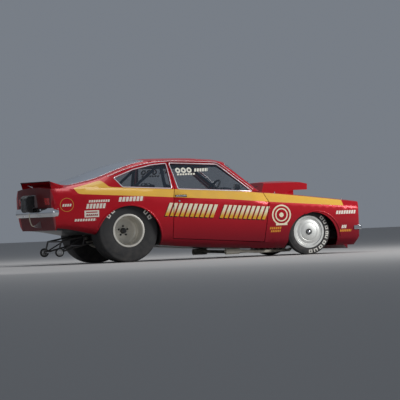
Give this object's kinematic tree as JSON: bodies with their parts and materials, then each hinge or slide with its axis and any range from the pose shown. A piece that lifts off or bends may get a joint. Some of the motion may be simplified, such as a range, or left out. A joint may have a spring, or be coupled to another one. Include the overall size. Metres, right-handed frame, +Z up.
{
  "type": "drag racing car",
  "caption": "Stock-bodied two-door fastback drag car: caged cabin, big rear slicks, hood scoop, wheelie bars, parachute; wheels roll, steering, doors, hood and hatch move.",
  "frame": {"origin": "on the ground, under the middle of the car's overall length and width", "axes": "+X towards the nose, +Y to the driver's left, +Z up"},
  "size_m": [4.405, 1.664, 1.3091],
  "materials": {
    "body_paint": "gloss",
    "chrome_trim": "polished",
    "window_glass": "clear",
    "tyre_rubber": "matt",
    "wheel_alloy": "satin",
    "frame_black": "satin",
    "cage_paint": "satin",
    "engine_metal": "matt",
    "header_white": "satin",
    "bare_steel": "brushed",
    "grille_black": "matt",
    "lamp_red": "gloss",
    "lamp_clear": "clear",
    "interior_black": "matt",
    "seat_shell": "satin",
    "seat_cloth": "woven",
    "pack_cloth": "woven nylon",
    "strap_webbing": "woven"
  },
  "bodies": {
    "chassis": {"floor_pan": "frame_black", "roof_panel": "body_paint", "cowl_panel": "body_paint", "nose_panel": "body_paint", "grille": "grille_black", "front_valance": "body_paint", "front_bumper": "chrome_trim", "rear_bumper": "chrome_trim", "tail_panel": "body_paint", "rear_pan": "body_paint", "tail_lamps": "lamp_red", "headlamps": "lamp_clear", "windshield": "window_glass", "front_frame": "frame_black", "control_arms": "frame_black", "steering_rack": "wheel_alloy", "engine_block": "engine_metal", "exhaust_headers": "header_white", "driveshaft": "bare_steel", "axle_housing": "frame_black", "rear_suspension": "frame_black", "rear_crossbar": "frame_black", "wheelie_bars": "bare_steel", "roll_cage": "cage_paint", "dashboard": "interior_black", "steering_wheel": "interior_black", "driver_seat": "seat_shell", "seat_pad": "seat_cloth", "parachute_pack": "pack_cloth", "parachute_mount": "bare_steel", "parachute_tether": "strap_webbing", "body_side_right": "body_paint", "body_side_left": "body_paint", "door_frame_right": "frame_black", "door_frame_left": "frame_black", "fender_right": "body_paint", "fender_left": "body_paint", "quarter_glass_right": "window_glass", "quarter_glass_left": "window_glass"},
    "door_right": {"door_panel_right": "body_paint", "door_glass_right": "window_glass"},
    "door_left": {"door_panel_left": "body_paint", "door_glass_left": "window_glass"},
    "hatch_lid": {"hatch": "body_paint", "hatch_glass": "window_glass", "rear_spoiler": "body_paint"},
    "hood_lid": {"hood": "body_paint", "hood_scoop": "body_paint"},
    "rear_wheels": {"axle_shafts": "bare_steel", "rear_rims": "wheel_alloy", "rear_tyres": "tyre_rubber"},
    "wheelie_wheels": {"wheelie_wheels": "tyre_rubber"},
    "tie_rod": {"tie_rod": "bare_steel"},
    "knuckle_right": {"knuckle_right": "bare_steel"},
    "knuckle_left": {"knuckle_left": "bare_steel"},
    "front_wheel_right": {"front_rim_right": "wheel_alloy", "front_tyre_right": "tyre_rubber"},
    "front_wheel_left": {"front_rim_left": "wheel_alloy", "front_tyre_left": "tyre_rubber"}
  },
  "joints": [
    {"name": "door_right_hinge", "type": "hinge", "parent": "chassis", "child": "door_right", "pos_m": [0.8705, -0.792, 0.64], "axis": [0, 0, 1], "range_deg": [0, 62]},
    {"name": "door_left_hinge", "type": "hinge", "parent": "chassis", "child": "door_left", "pos_m": [0.8705, 0.792, 0.64], "axis": [0, 0, -1], "range_deg": [0, 62]},
    {"name": "hood_hinge", "type": "hinge", "parent": "chassis", "child": "hood_lid", "pos_m": [2.1225, 0, 0.655], "axis": [0, 1, 0], "range_deg": [0, 55]},
    {"name": "hatch_hinge", "type": "hinge", "parent": "chassis", "child": "hatch_lid", "pos_m": [-0.5955, 0, 1.266], "axis": [0, 1, 0], "range_deg": [0, 58]},
    {"name": "steer_left", "type": "hinge", "parent": "chassis", "child": "knuckle_left", "pos_m": [1.3965, 0.572, 0.292], "axis": [0, 0, 1], "range_deg": [-28, 28]},
    {"name": "steer_right", "type": "hinge", "parent": "chassis", "child": "knuckle_right", "pos_m": [1.3965, -0.572, 0.292], "axis": [0, 0, 1], "range_deg": [-28, 28]},
    {"name": "rack_slide", "type": "slide", "parent": "chassis", "child": "tie_rod", "axis": [0, 1, 0], "range_m": [-0.0612, 0.0612]},
    {"name": "front_wheel_left_spin", "type": "hinge", "parent": "knuckle_left", "child": "front_wheel_left", "pos_m": [1.3965, 0.68, 0.292], "axis": [0, 1, 0], "continuous": true},
    {"name": "front_wheel_right_spin", "type": "hinge", "parent": "knuckle_right", "child": "front_wheel_right", "pos_m": [1.3965, -0.68, 0.292], "axis": [0, 1, 0], "continuous": true},
    {"name": "rear_axle_spin", "type": "hinge", "parent": "chassis", "child": "rear_wheels", "pos_m": [-1.0675, 0, 0.401], "axis": [0, 1, 0], "continuous": true},
    {"name": "wheelie_wheel_spin", "type": "hinge", "parent": "chassis", "child": "wheelie_wheels", "pos_m": [-1.8455, 0, 0.158], "axis": [0, 1, 0], "continuous": true}
  ],
  "couplings": [
    {"joint": "steer_right", "follows": "steer_left", "ratio": 1},
    {"joint": "rack_slide", "follows": "steer_left", "m_per_rad": 0.12489}
  ]
}
